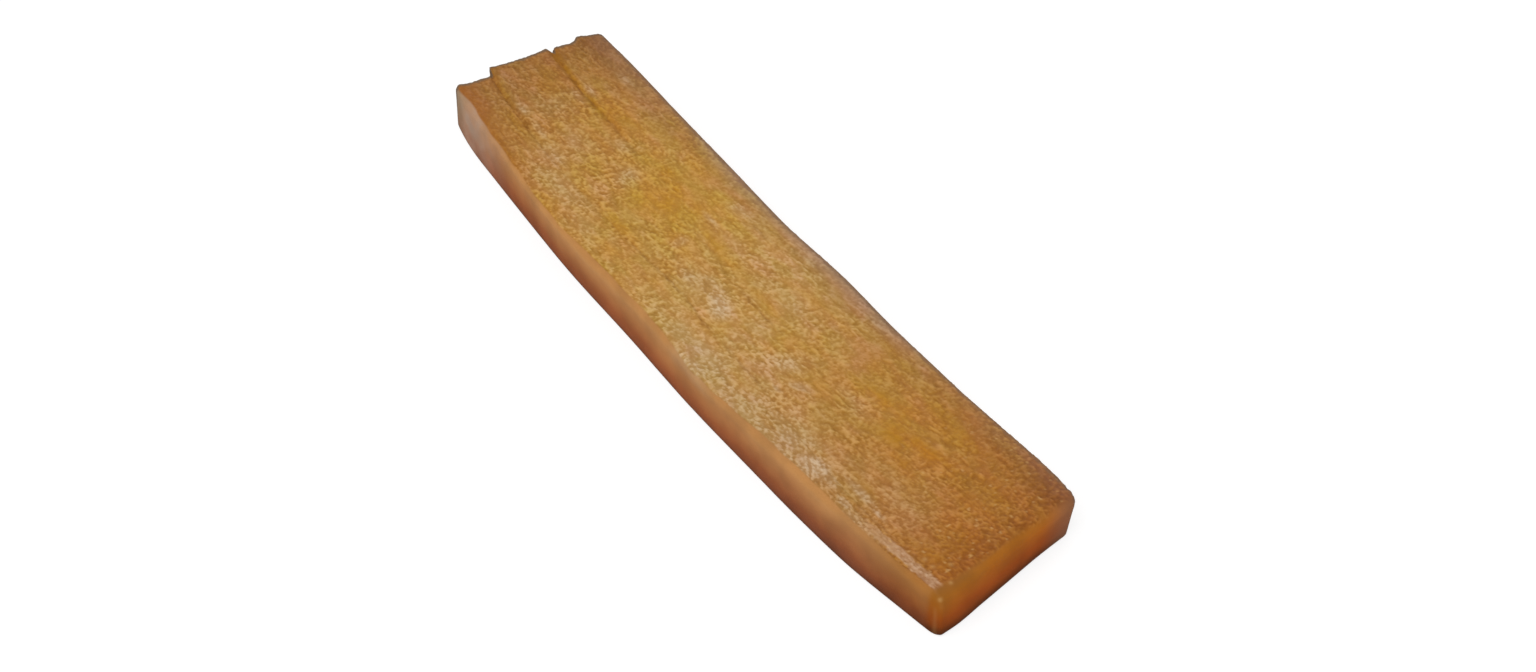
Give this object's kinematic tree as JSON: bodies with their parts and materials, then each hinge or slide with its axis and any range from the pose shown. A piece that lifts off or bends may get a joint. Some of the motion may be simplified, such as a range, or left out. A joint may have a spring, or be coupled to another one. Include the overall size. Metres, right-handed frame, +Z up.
{
  "type": "mango bar",
  "caption": "Bar of dried mango pulp: a long cut slab, slightly bowed in plan, with a creased top, a broken far end and a flat underside.",
  "frame": {"origin": "centre of the bounding box in plan, on the plane that the underside rests on", "axes": "+X along the length towards the evenly cut end, +Y across the width, +Z up through the thickness, away from the underside"},
  "size_m": [0.1562, 0.0384, 0.0108],
  "materials": {
    "dried_mango_pulp": "semi-gloss, pebbled top, smooth cut sides"
  },
  "bodies": {
    "root": {"mango_bar": "dried_mango_pulp"}
  },
  "joints": []
}
